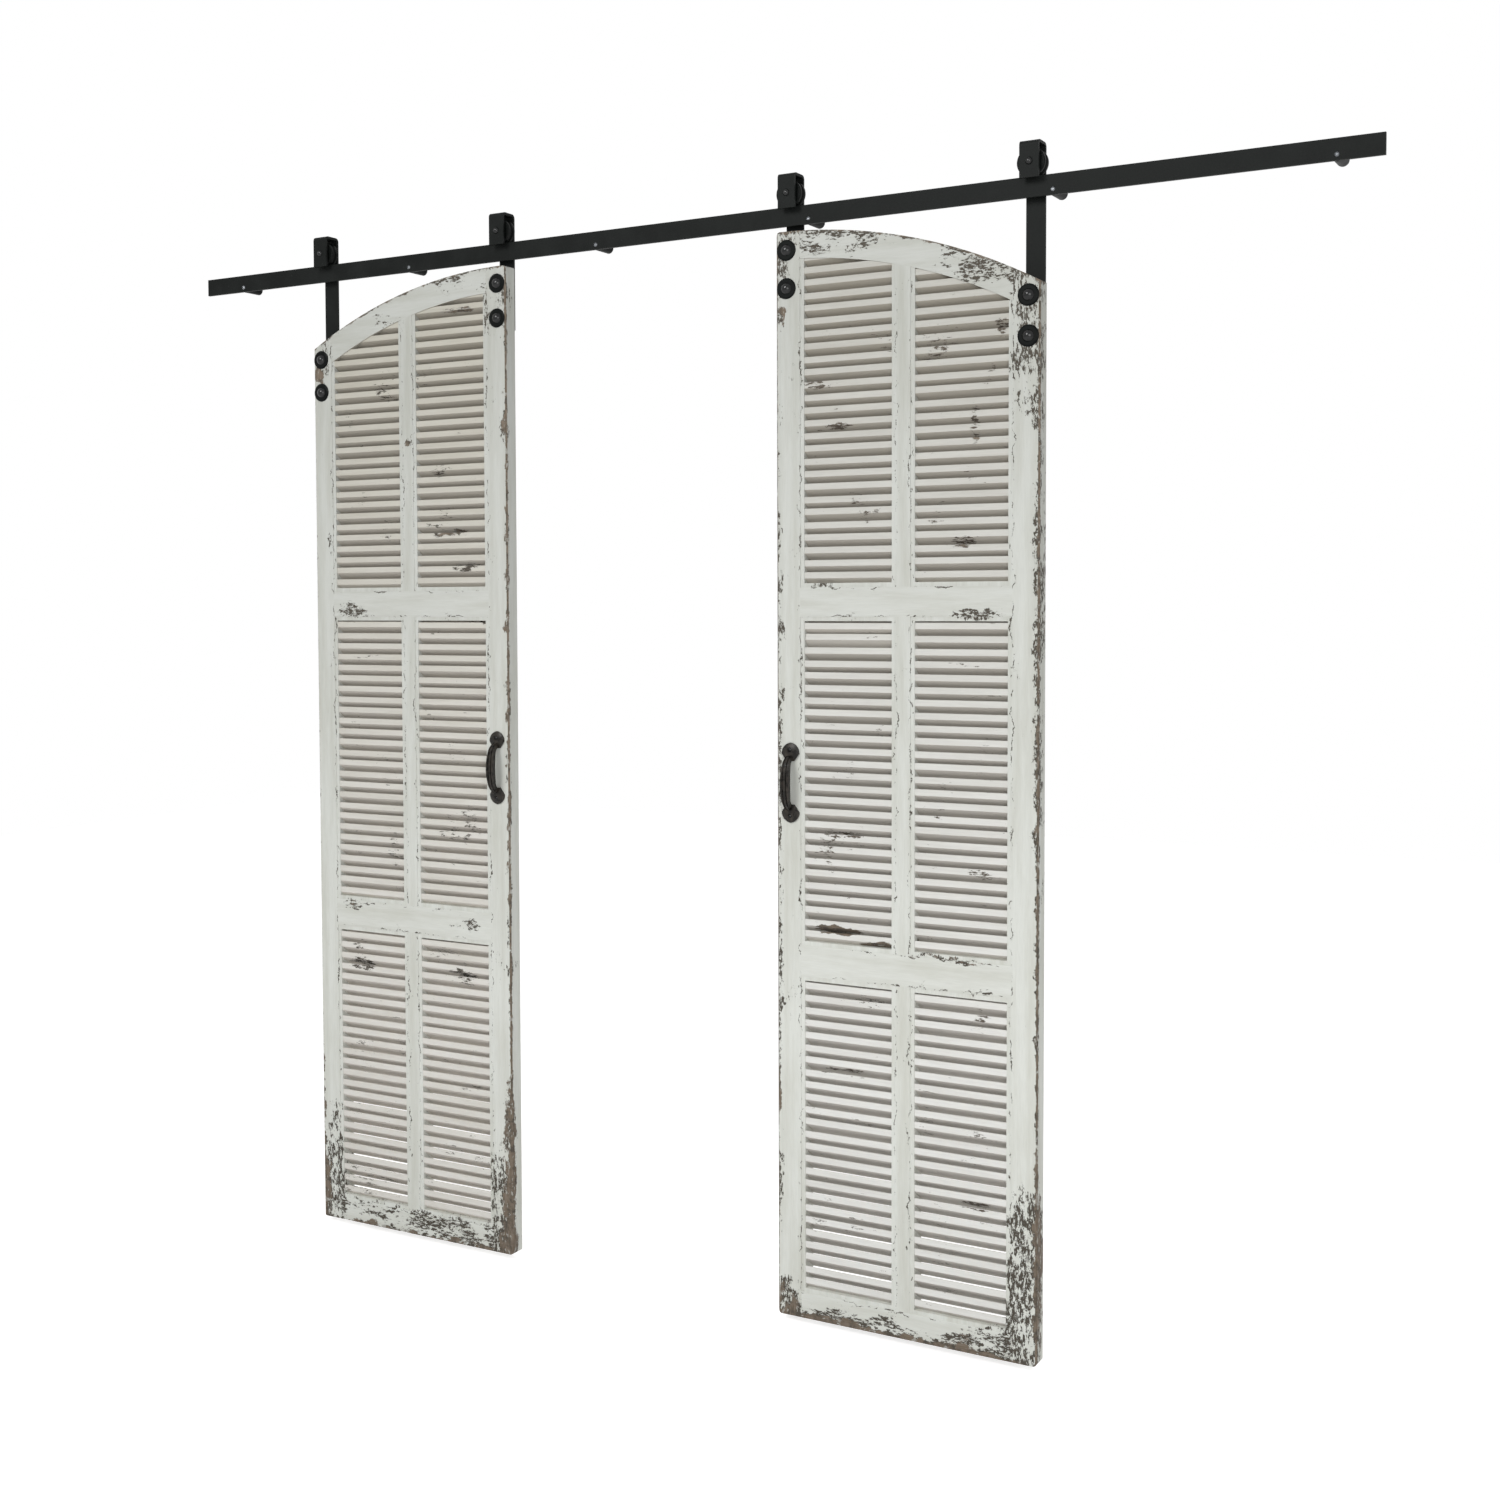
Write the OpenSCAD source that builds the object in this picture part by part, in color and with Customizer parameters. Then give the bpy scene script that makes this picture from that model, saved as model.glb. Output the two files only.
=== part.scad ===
// Double sliding louvred door on a wall-mounted flat rail, in millimetres.
// Origin: centre of the six standoffs on the wall plane. X runs right, Y runs towards the wall, Z runs up.

/* [Track] */
// Height of the flat rail bar
rail_height = 35; // [30:1:60]
// Thickness of the flat rail bar
rail_thick = 6; // [4:0.5:10]
// Rail length beyond the first standoff on the left
overhang_left = 105; // [60:1:160]
// Rail length beyond the last standoff on the right
overhang_right = 72; // [60:1:160]
// Outer diameter of a standoff
standoff_dia = 20; // [16:0.5:22]
// Length of a standoff from wall to rail
standoff_length = 44; // [40:1:70]
// How far the standoffs sit below the middle of the rail
standoff_drop = 8; // [0:0.5:9]
// Diameter of the hole for the wall stud in each standoff
wall_hole_dia = 10; // [6:0.5:12]
// Depth of the hole for the wall stud
wall_hole_depth = 20; // [10:1:24]

/* [Door leaf] */
// Width of one leaf
door_width = 500; // [440:1:560]
// Height of one leaf at its tall inner edge
door_height = 2000; // [1900:5:2300]
// Thickness of one leaf
door_thick = 35; // [30:1:45]
// How much lower the arch is at the outer edge than at the inner edge
arch_drop = 132; // [90:1:180]
// Depth of the arched top rail, measured towards the arc's centre
top_rail_depth = 50; // [40:1:70]
// Width of the two upright stiles
stile_width = 48; // [46:1:60]
// Width of the middle upright
muntin_width = 28; // [20:1:44]
// Height of the bottom rail
bottom_rail_height = 49; // [40:1:120]
// Height of the lower cross rail above the leaf's bottom edge
lower_cross_z = 639; // [560:1:700]
// Height of the lower cross rail itself
lower_cross_height = 57; // [45:1:90]
// Height of the upper cross rail above the leaf's bottom edge
upper_cross_z = 1300; // [1200:1:1400]
// Height of the upper cross rail itself
upper_cross_height = 53; // [45:1:90]
// Width of the small chamfer on the outer upright edges
arris = 3; // [1:0.5:4]
// Radius of the leaf's worn bottom corners and top inner corner
corner_round = 8; // [3:0.5:15]
// Gap between the leaf's top and the rail's underside
door_gap = 12.5; // [6:0.5:25]
// At rest, distance from the left leaf's inner strap to the standoff on its right
left_rest = 224; // [120:1:320]
// At rest, distance from the right leaf's inner strap to the standoff on its right
right_rest = 36; // [32:1:300]

/* [Louvres] */
// Distance from one slat to the next
slat_pitch = 23; // [21:0.5:30]
// Depth of a slat from its upright front edge to its upright back edge
slat_depth = 31; // [27:0.5:32]
// Thickness of a slat
slat_thick = 10; // [8:0.5:11]
// Slope of a slat from the horizontal, front edge up
slat_tilt = 36; // [35:1:44]
// Height of the lowest slat's front edge above the bead below it
slat_lead = 8; // [4:0.5:12]
// Width of the worn flat along a slat's sharp edges
slat_wear = 1.5; // [0.5:0.25:3]
// How far the old slats stray from even spacing
slat_stray = 0.7; // [0:0.1:0.9]
// How far the old slats stray from one slope, in degrees
slat_sway = 1.5; // [0:0.25:2]
// How far the one loose slat has turned, in the right leaf's middle panel, in degrees
loose_turn = 12; // [0:1:14]
// Width of the bead strips round each louvre column
bead_width = 8; // [5:0.5:12]
// Depth of the bead strips
bead_depth = 33; // [29:0.5:35]

/* [Hangers] */
// Width of the bent strap
strap_width = 34; // [28:1:40]
// Thickness of the bent strap
strap_thick = 5; // [4:0.5:6]
// Distance from a leaf's edge to the middle of its strap
strap_inset = 21; // [19:0.5:28]
// Distance from the rail's middle plane to each leg of the strap
strap_half_inside = 15.5; // [14:0.5:20]
// Outside radius of the strap's two bends
strap_bend = 8; // [7:0.5:12]
// How far the short front leg reaches below the rail's top
leg_overlap = 5; // [2:0.5:12]
// Length of strap below the lower door bolt
strap_tail = 30; // [20:1:50]
// Radius of the wheel's tread
tread_radius = 22.5; // [20:0.5:30]
// Height of the wheel's flanges above the tread
flange_height = 2.5; // [2:0.5:5]
// Width of the wheel
wheel_width = 22; // [18:0.5:26]
// Room between the wheel's flanges and the bend above it
wheel_headroom = 5.5; // [2:0.5:10]
// Diameter of the axle bolt
axle_dia = 8; // [6:0.5:10]
// Outer diameter of the wheel's bush
bush_dia = 16; // [13:0.5:20]
// Diameter of the door bolts
door_bolt_dia = 8; // [6:0.5:10]
// Distance from the leaf's top edge to the upper door bolt
bolt_top_inset = 34; // [30:1:50]
// Distance between a strap's two door bolts
bolt_pitch = 69; // [50:1:100]
// Diameter of the dished washer under a bolt head
washer_dia = 38; // [28:0.5:40]
// Diameter of the domed bolt head
dome_dia = 21; // [16:0.5:24]

/* [Handles] */
// Distance from the leaf's inner edge to the handle's middle
handle_x = 28.5; // [24:0.5:29]
// Height of the handle's middle above the leaf's bottom edge
handle_z = 995; // [800:5:1200]
// How far the middle of the grip's centre line stands off the leaf
grip_rise = 25; // [24:1:32]
// Radius of the grip's bowed middle
grip_radius = 120; // [100:1:160]
// How far the bowed middle turns to each side before the grip bends in to the leaf, in degrees
grip_turn = 15; // [12:1:18]
// Width of the grip at its middle
grip_width = 17; // [12:0.5:22]
// Width of the grip where it joins its feet
neck_width = 10; // [8:0.5:11]
// Thickness of the grip
grip_thick = 9; // [7:0.5:12]
// Depth of the two flutes along the grip's front
flute_depth = 2; // [0.6:0.1:3]
// Width of the two flutes along the grip's front
flute_width = 2.4; // [1.5:0.1:3]
// Width of a handle foot
foot_width = 35; // [28:1:38]
// Radius of the two arcs that meet at a foot's tip
foot_arc = 20; // [19:0.5:30]
// Length of a foot from its widest place to its narrow end at the grip
foot_skirt = 14; // [10:0.5:18]
// Width of a foot's narrow end
foot_neck = 15; // [12:0.5:24]
// Thickness of a foot at its middle
foot_thick = 7; // [5:0.5:9]
// Radius of a foot's domed front
foot_dome = 42; // [36:1:70]
// Diameter of the handle screws
handle_screw_dia = 4; // [3:0.5:5]
// Diameter of the handle screws' heads
handle_screw_head = 7.5; // [6:0.5:9]
// Depth of the seat for a handle screw's head
foot_seat = 2.5; // [1.5:0.25:3.5]
// How deep a handle screw goes into the stile
handle_screw_grip = 18; // [10:1:28]

/* [Fasteners] */
// Height of a flanged nut
nut_height = 6.5; // [5:0.5:8]
// Width of a nut across its flats
nut_flat = 13; // [12:0.5:16]
// Diameter of a nut's flange
nut_flange_dia = 17; // [16:0.5:22]
// Height of a nut's flange
nut_flange_height = 1.5; // [1:0.25:2.5]
// Length of thread that shows past a nut
thread_end = 1.5; // [0.5:0.25:4]
// Thickness of the dished washer
washer_thick = 2.5; // [1.5:0.25:4]
// Width of the washer's sloping rim
washer_rim = 3; // [2:0.5:6]
// Height of the domed door bolt head
dome_height = 6.5; // [4:0.5:9]
// Diameter of the axle bolt's head
axle_head_dia = 13; // [11:0.5:18]
// Height of the axle bolt's head
axle_head_height = 5; // [2.5:0.5:6]
// Diameter of the rail screws
rail_screw_dia = 6; // [5:0.5:8]
// Diameter of the rail screws' heads
rail_screw_head = 9; // [8:0.5:12]
// Height of the rail screws' heads
rail_screw_height = 3.2; // [2.5:0.1:4.5]
// How deep a rail screw goes into its standoff
rail_screw_depth = 14; // [8:1:16]

/* [Fits] */
// Running clearance between axle and bush, on the radius
axle_clear = 0.05; // [0.02:0.01:0.09]
// Clearance around bolts in plain holes, on the radius
bolt_clear = 0.2; // [0.1:0.05:0.4]
// Clearance between a screw and its threaded hole, on the radius
thread_clear = 0.1; // [0.05:0.05:0.2]
// Gap between the wheel's tread and the rail's top
roll_gap = 0.2; // [0.1:0.05:0.3]
// Room between the rail's sides and the wheel's groove, on each side
groove_side = 1; // [0.5:0.25:2]
// Gap between the bush's end and the strap's leg
bush_end_gap = 0.4; // [0.3:0.05:0.8]

/* [Hidden] */
$fn = 64;

paint = [0.82, 0.82, 0.79];
slat_paint = [0.85, 0.83, 0.76];
black = [0.14, 0.15, 0.15];
iron = [0.16, 0.14, 0.12];
steel = [0.5, 0.5, 0.5];

// Standoffs are as far apart as the two straps of one leaf, so both straps stop together
standoff_pitch = door_width - 2 * strap_inset;
left_inner_x = -standoff_pitch / 2 - left_rest + strap_inset;
right_inner_x = standoff_pitch / 2 - right_rest - strap_inset;

// Heights and depths in the shared frame
rail_bottom_z = standoff_drop - rail_height / 2;
rail_top_z = rail_bottom_z + rail_height;
rail_front_y = -standoff_length - rail_thick;
rail_mid_y = -standoff_length - rail_thick / 2;
rail_left_x = -2.5 * standoff_pitch - overhang_left;
rail_length = 5 * standoff_pitch + overhang_left + overhang_right;
door_bottom_z = rail_bottom_z - door_gap - door_height;
door_back_y = rail_mid_y + strap_half_inside;
door_front_y = door_back_y - door_thick;
door_mid_y = door_back_y - door_thick / 2;

// Arch: horizontal tangent at the inner edge, centre straight below it
arch_radius = (door_width * door_width + arch_drop * arch_drop) / (2 * arch_drop);
arch_centre_z = door_height - arch_radius;
arch_inner_radius = arch_radius - top_rail_depth;
function arch_z(x) = arch_centre_z + sqrt(arch_radius * arch_radius - x * x);
function soffit_z(x) = arch_centre_z + sqrt(arch_inner_radius * arch_inner_radius - x * x);

// Louvre columns, counted from the inner edge
column_width = (door_width - 2 * stile_width - muntin_width) / 2;
near_x = stile_width;
far_x = stile_width + column_width + muntin_width;
slat_length = column_width - 2 * bead_width;
slat_half = slat_depth / 2;
slat_fall = slat_depth * tan(slat_tilt);
slat_edge = slat_thick / cos(slat_tilt);
slat_top = (slat_fall + slat_edge) / 2;
wear_in = slat_wear * cos(slat_tilt);
wear_down = slat_wear * sin(slat_tilt);
lower_bottom = bottom_rail_height;
middle_bottom = lower_cross_z + lower_cross_height;
upper_bottom = upper_cross_z + upper_cross_height;

// Hangers
axle_z = rail_top_z + roll_gap + tread_radius;
flange_radius = tread_radius + flange_height;
hook_top_z = axle_z + flange_radius + wheel_headroom + strap_thick;
leg_bottom_z = rail_top_z - leg_overlap;
rear_leg_y = rail_mid_y + strap_half_inside;
front_leg_y = rail_mid_y - strap_half_inside - strap_thick;
hook_depth = 2 * (strap_half_inside + strap_thick);
inner_x = strap_inset;
outer_x = door_width - strap_inset;
bush_length = 2 * (strap_half_inside - bush_end_gap);
groove_width = rail_thick + 2 * groove_side;

// Slats: seeds and step that make each one stray differently, and the least height of a cut one
left_seed = 0;
right_seed = 75;
stray_step = 137;
least_slat = 9;

// Allowances
cut_over = 1;
hex_corner = 1 / cos(30);
socket_depth = 1.6;
edge_chamfer = 1.5;
screw_hole_end = 2;

// Handle
bend_radius = (grip_rise - grip_radius * (1 - cos(grip_turn))) / cos(grip_turn);
bend_z = (grip_radius - bend_radius) * sin(grip_turn);
grip_half = bend_z + bend_radius;
flute_x = grip_width / 5;
bend_steps = 10;
bow_steps = 8;
bend_angles = [for (k = [0:bend_steps]) 90 - k * (90 - grip_turn) / bend_steps];
bow_angles = [for (k = [1:bow_steps - 1]) grip_turn - k * 2 * grip_turn / bow_steps];
grip_angles = concat(bend_angles, bow_angles, [for (k = [0:bend_steps]) -bend_angles[bend_steps - k]]);

// Depth and height of the grip's side view at an angle from straight out, this far outside its centre line
function grip_point(angle, out) = abs(angle) < grip_turn
  ? [grip_radius - grip_rise - (grip_radius + out) * cos(angle), (grip_radius + out) * sin(angle)]
  : [-(bend_radius + out) * cos(angle), sign(angle) * bend_z + (bend_radius + out) * sin(angle)];

taper = (grip_width - neck_width) / 2;
taper_radius = (grip_half * grip_half + taper * taper) / (2 * taper);
foot_z = grip_half + foot_skirt / 2;
foot_offset = foot_arc - foot_width / 2;
foot_tip = sqrt(foot_arc * foot_arc - foot_offset * foot_offset);
foot_screw_z = foot_z + foot_skirt / 2;

// Placing a leaf: local x from the inner edge outwards, local z from the bottom edge up
module left_leaf() {
  $leaf_seed = left_seed;
  translate([left_inner_x, 0, door_bottom_z])
    mirror([1, 0, 0])
      children();
}

module right_leaf() {
  $leaf_seed = right_seed;
  translate([right_inner_x, 0, door_bottom_z])
    children();
}

// A cylinder along Y from y0 to y1
module rod_y(x, z, y0, y1, d) {
  translate([x, y1, z])
    rotate([90, 0, 0])
      cylinder(d = d, h = y1 - y0, $fn = d > 200 ? 900 : 64);
}

// A disc along Y that bounds the leaf under an arc of this radius
module arch_disc(radius) {
  rod_y(0, arch_centre_z, door_front_y - cut_over, door_back_y + cut_over, 2 * radius);
}

// Everything under the leaf's arched top, with its other corners worn round
module leaf_outline() {
  intersection() {
    union() {
      arch_disc(arch_radius);
      translate([-cut_over, door_front_y - cut_over, -cut_over])
        cube([door_width + 2 * cut_over, door_thick + 2 * cut_over, arch_centre_z + cut_over]);
    }
    translate([0, door_back_y + cut_over, 0])
      rotate([90, 0, 0])
        linear_extrude(door_thick + 2 * cut_over)
          rounded_leaf();
  }
}

// The leaf's full width and height as a rectangle with round corners
module rounded_leaf() {
  r = corner_round;
  translate([0, r])
    square([door_width, door_height - 2 * r]);
  translate([r, 0])
    square([door_width - 2 * r, door_height]);
  for (x = [r, door_width - r])
    for (z = [r, door_height - r])
      translate([x, z])
        circle(r = r);
}

// Track
module rail() {
  color(black)
    difference() {
      translate([rail_left_x, rail_front_y, rail_bottom_z])
        cube([rail_length, rail_thick, rail_height]);
      for (i = [0:5])
        rod_y((i - 2.5) * standoff_pitch, 0, rail_front_y - cut_over, rail_front_y + rail_thick + cut_over,
          rail_screw_dia + 2 * bolt_clear);
    }
}

module standoffs() {
  color(black)
    for (i = [0:5])
      translate([(i - 2.5) * standoff_pitch, 0, 0])
        difference() {
          rod_y(0, 0, -standoff_length, 0, standoff_dia);
          rod_y(0, 0, -wall_hole_depth, cut_over, wall_hole_dia);
          rod_y(0, 0, -standoff_length - cut_over, -standoff_length + rail_screw_depth + screw_hole_end,
            rail_screw_dia + 2 * thread_clear);
        }
}

module rail_screws() {
  color(steel)
    for (i = [0:5])
      translate([(i - 2.5) * standoff_pitch, rail_front_y, 0])
        button_screw(rail_screw_dia, rail_thick + rail_screw_depth, rail_screw_head, rail_screw_height);
}

// A domed socket screw along +Y with its head's underside at y = 0
module button_screw(d, length, head_d, head_h) {
  rotate([90, 0, 0])
    difference() {
      rotate_extrude()
        dome_profile(d, length, head_d, head_h);
      translate([0, 0, head_h - socket_depth])
        cylinder(d = d * 0.6 * hex_corner, h = head_h, $fn = 6);
    }
}

// A shank below zero and a domed head above it
module dome_profile(d, length, head_d, head_h) {
  cap_r = (head_d * head_d / 4 + head_h * head_h) / (2 * head_h);
  translate([0, -length])
    square([d / 2, length + head_h / 2]);
  intersection() {
    translate([0, head_h - cap_r])
      circle(r = cap_r);
    square([head_d / 2, head_h]);
  }
}

// Leaf frame
module outer_stile_shape() {
  difference() {
    intersection() {
      linear_extrude(door_height)
        polygon([[door_width - stile_width, door_front_y],
          [door_width - arris, door_front_y],
          [door_width, door_front_y + arris],
          [door_width, door_back_y - arris],
          [door_width - arris, door_back_y],
          [door_width - stile_width, door_back_y]]);
      leaf_outline();
    }
    bolt_holes(outer_x);
  }
}

module inner_stile_shape() {
  difference() {
    intersection() {
      linear_extrude(door_height)
        polygon([[0, door_front_y + arris],
          [arris, door_front_y],
          [stile_width, door_front_y],
          [stile_width, door_back_y],
          [arris, door_back_y],
          [0, door_back_y - arris]]);
      leaf_outline();
    }
    bolt_holes(inner_x);
    for (s = [-1, 1])
      rod_y(handle_x, handle_z + s * foot_screw_z, door_front_y - cut_over,
        door_front_y + handle_screw_grip + cut_over,
        handle_screw_dia + 2 * bolt_clear);
  }
}

module bolt_holes(x) {
  for (k = [0, 1])
    rod_y(x, arch_z(x) - bolt_top_inset - k * bolt_pitch, door_front_y - cut_over,
      door_back_y + strap_thick + cut_over,
      door_bolt_dia + 2 * bolt_clear);
}

module top_rail_shape() {
  difference() {
    intersection() {
      translate([stile_width, door_front_y, upper_bottom])
        cube([door_width - 2 * stile_width, door_thick, door_height]);
      arch_disc(arch_radius);
    }
    arch_disc(arch_inner_radius);
  }
}

module cross_rail_shape(z, height) {
  translate([stile_width, door_front_y, z])
    cube([door_width - 2 * stile_width, door_thick, height]);
}

module upper_cross_shape() {
  cross_rail_shape(upper_cross_z, upper_cross_height);
}

module lower_cross_shape() {
  cross_rail_shape(lower_cross_z, lower_cross_height);
}

module bottom_rail_shape() {
  cross_rail_shape(0, bottom_rail_height);
}

module muntin_shape() {
  x = stile_width + column_width;
  translate([x, door_front_y, lower_bottom])
    cube([muntin_width, door_thick, lower_cross_z - lower_bottom]);
  translate([x, door_front_y, middle_bottom])
    cube([muntin_width, door_thick, upper_cross_z - middle_bottom]);
  intersection() {
    translate([x, door_front_y, upper_bottom])
      cube([muntin_width, door_thick, door_height - upper_bottom]);
    arch_disc(arch_inner_radius);
  }
}

// Bead strips round each louvre column, open to the arch at the top
module bead_shape() {
  for (x = [near_x, far_x]) {
    bead_frame(x, lower_bottom, lower_cross_z, lower_cross_z - bead_width);
    bead_frame(x, middle_bottom, upper_cross_z, upper_cross_z - bead_width);
    intersection() {
      bead_frame(x, upper_bottom, door_height, door_height + cut_over);
      arch_disc(arch_inner_radius);
    }
  }
}

module bead_frame(x, z0, z1, inside_top) {
  difference() {
    translate([x, door_mid_y - bead_depth / 2, z0])
      cube([column_width, bead_depth, z1 - z0]);
    translate([x + bead_width, door_front_y - cut_over, z0 + bead_width])
      cube([slat_length, door_thick + 2 * cut_over, inside_top - z0 - bead_width]);
  }
}

// Louvres: a sloping slat with upright front and back edges, and its two sharp edges worn flat
module slat_profile() {
  polygon([[-slat_half, slat_top - slat_wear],
    [-slat_half + wear_in, slat_top - wear_down],
    [slat_half, slat_edge - slat_top],
    [slat_half, slat_wear - slat_top],
    [slat_half - wear_in, wear_down - slat_top],
    [-slat_half, slat_top - slat_edge]]);
}

module slat(x, z, turn) {
  translate([x, door_mid_y, z])
    rotate([90, 0, 90])
      linear_extrude(slat_length)
        rotate(-turn)
          slat_profile();
}

// Each slat strays by its own share, from -1 to 1, which differs from leaf to leaf
function share(k, z) = sin(k * stray_step + z + $leaf_seed);

module stray_slat(column_x, z, k) {
  slat(column_x + bead_width, z + slat_stray * share(k, column_x), slat_sway * share(k, z));
}

// A straight column of slats, the first and last cut to the opening between two rails
module slat_column(column_x, z0, z1, loose) {
  low = z0 + bead_width;
  room = z1 - bead_width - low;
  count = round(room / slat_pitch);
  for (k = [0:count]) {
    z = low + slat_lead + slat_edge - slat_top + k * room / count;
    intersection() {
      if (loose && k == count - 2)
        slat(column_x + bead_width, z, loose_turn);
      else
        stray_slat(column_x, z, k);
      translate([column_x, door_front_y, low])
        cube([column_width, door_thick, room]);
    }
  }
}

module lower_column(column_x) {
  slat_column(column_x, lower_bottom, lower_cross_z, false);
}

module middle_column(column_x, loose = false) {
  slat_column(column_x, middle_bottom, upper_cross_z, loose);
}

// The column under the arch, its slats cut to the soffit
module arched_column(column_x) {
  low = upper_bottom + bead_width;
  start = low + slat_lead + slat_edge - slat_top;
  high = soffit_z(column_x + bead_width) + slat_top - least_slat;
  count = floor((high - start) / slat_pitch);
  for (k = [0:count])
    intersection() {
      stray_slat(column_x, start + k * slat_pitch, k);
      translate([column_x, door_front_y, low])
        cube([column_width, door_thick, door_height]);
      arch_disc(arch_inner_radius);
    }
}

// Hangers
module hanger_shape(x) {
  tip_z = arch_z(x) - bolt_top_inset - bolt_pitch;
  top = hook_top_z - door_bottom_z;
  axle = axle_z - door_bottom_z;
  difference() {
    intersection() {
      translate([x - strap_width / 2, 0, 0])
        rotate([90, 0, 90])
          linear_extrude(strap_width)
            hook_profile(top, leg_bottom_z - door_bottom_z, tip_z - strap_tail);
      translate([x, rear_leg_y + strap_thick + cut_over, 0])
        rotate([90, 0, 0])
          linear_extrude(hook_depth + 2 * cut_over)
            strap_outline(top, tip_z - strap_tail);
    }
    bolt_holes(x);
    rod_y(x, axle, front_leg_y - cut_over, rear_leg_y + strap_thick + cut_over, axle_dia + 2 * bolt_clear);
  }
}

// Side view of the bent strap: x is depth, y is height
module hook_profile(top, front_end, rear_end) {
  difference() {
    translate([front_leg_y, front_end])
      round_topped(hook_depth, top - front_end, strap_bend);
    translate([front_leg_y + strap_thick, front_end - cut_over])
      round_topped(hook_depth - 2 * strap_thick, top - strap_thick - front_end + cut_over,
        strap_bend - strap_thick);
  }
  translate([rear_leg_y, rear_end])
    square([strap_thick, front_end + strap_bend - rear_end]);
}

// A rectangle whose two upper corners are rounded
module round_topped(width, height, radius) {
  square([width, height - radius]);
  translate([radius, 0])
    square([width - 2 * radius, height]);
  translate([radius, height - radius])
    circle(r = radius);
  translate([width - radius, height - radius])
    circle(r = radius);
}

// Front view of the strap, with its two lower corners cut off
module strap_outline(top, bottom) {
  w = strap_width / 2;
  c = strap_width * 0.28;
  polygon([[-w, top + cut_over], [-w, bottom + c], [-w + c, bottom],
    [w - c, bottom], [w, bottom + c], [w, top + cut_over]]);
}

module bolt_positions() {
  for (x = [inner_x, outer_x])
    for (k = [0, 1])
      translate([x, 0, arch_z(x) - bolt_top_inset - k * bolt_pitch])
        children();
}

module door_bolt_shape() {
  bolt_positions()
    translate([0, door_front_y - washer_thick, 0])
      rotate([90, 0, 0])
        rotate_extrude()
          dome_profile(door_bolt_dia, washer_thick + door_thick + strap_thick + nut_height + thread_end,
            dome_dia, dome_height);
}

module washer_shape() {
  bolt_positions()
    translate([0, door_front_y, 0])
      rotate([90, 0, 0])
        rotate_extrude()
          polygon([[door_bolt_dia / 2 + bolt_clear, 0],
            [washer_dia / 2, 0],
            [washer_dia / 2, washer_thick * 0.4],
            [washer_dia / 2 - washer_rim, washer_thick],
            [door_bolt_dia / 2 + bolt_clear, washer_thick]]);
}

// A flanged hex nut along +Y with its seat at y = 0
module flange_nut(d) {
  rotate([-90, 0, 0])
    difference() {
      union() {
        cylinder(d = nut_flange_dia, h = nut_flange_height);
        cylinder(d = nut_flat * hex_corner, h = nut_height, $fn = 6);
      }
      translate([0, 0, -cut_over])
        cylinder(d = d + 2 * thread_clear, h = nut_height + 2 * cut_over);
    }
}

module door_nut_shape() {
  bolt_positions()
    translate([0, rear_leg_y + strap_thick, 0])
      flange_nut(door_bolt_dia);
}

module axle_positions() {
  for (x = [inner_x, outer_x])
    translate([x, 0, axle_z - door_bottom_z])
      children();
}

module axle_bolt_shape() {
  axle_positions()
    translate([0, front_leg_y, 0])
      rotate([90, 0, 0])
        rotate_extrude()
          dome_profile(axle_dia, hook_depth + nut_height + thread_end, axle_head_dia, axle_head_height);
}

module axle_nut_shape() {
  axle_positions()
    translate([0, rear_leg_y + strap_thick, 0])
      flange_nut(axle_dia);
}

// Wheel with a groove that straddles the rail's top edge
module wheel_shape(x) {
  h = wheel_width / 2;
  g = groove_width / 2;
  translate([x, rail_mid_y, axle_z - door_bottom_z])
    rotate([90, 0, 0])
      rotate_extrude()
        polygon([[bush_dia / 2, -h],
          [flange_radius - edge_chamfer, -h],
          [flange_radius, -h + edge_chamfer],
          [flange_radius, -g - groove_side],
          [tread_radius, -g],
          [tread_radius, g],
          [flange_radius, g + groove_side],
          [flange_radius, h - edge_chamfer],
          [flange_radius - edge_chamfer, h],
          [bush_dia / 2, h]]);
}

module bush_shape(x) {
  translate([x, rail_mid_y, axle_z - door_bottom_z])
    rotate([90, 0, 0])
      difference() {
        cylinder(d = bush_dia, h = bush_length, center = true);
        cylinder(d = axle_dia + 2 * axle_clear, h = bush_length + 2 * cut_over, center = true);
      }
}

// Handle: a bowed grip on two shield-shaped feet, cast in one piece
module handle_shape() {
  translate([handle_x, door_front_y, handle_z])
    difference() {
      union() {
        grip();
        foot();
        mirror([0, 0, 1])
          foot();
      }
      for (s = [-1, 1]) {
        rod_y(0, s * foot_screw_z, -foot_thick - cut_over, cut_over, handle_screw_dia + 2 * bolt_clear);
        rod_y(0, s * foot_screw_z, -foot_thick - cut_over, -foot_thick + foot_seat,
          handle_screw_head + 2 * bolt_clear);
      }
    }
}

// A bowed middle and two bends, tapered towards the ends, with two flutes along the front
module grip() {
  intersection() {
    difference() {
      grip_slice(grip_width, -grip_thick / 2, grip_thick / 2);
      for (s = [-1, 1])
        translate([s * flute_x, 0, 0])
          grip_slice(flute_width, grip_thick / 2 - flute_depth, grip_thick / 2 + cut_over);
    }
    taper_bound();
  }
}

// A slice across the grip between two distances from its centre line
module grip_slice(width, inner, outer) {
  rotate([90, 0, 90])
    linear_extrude(width, center = true)
      polygon(concat([for (a = grip_angles) grip_point(a, outer)],
        [for (a = grip_angles) grip_point(-a, inner)]));
}

// The grip's front view: two shallow arcs, from the leaf's face outwards
module taper_bound() {
  reach = 2 * grip_rise;
  intersection() {
    rod_y(taper_radius - grip_width / 2, 0, -reach, 0, 2 * taper_radius);
    rod_y(grip_width / 2 - taper_radius, 0, -reach, 0, 2 * taper_radius);
  }
}

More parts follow.
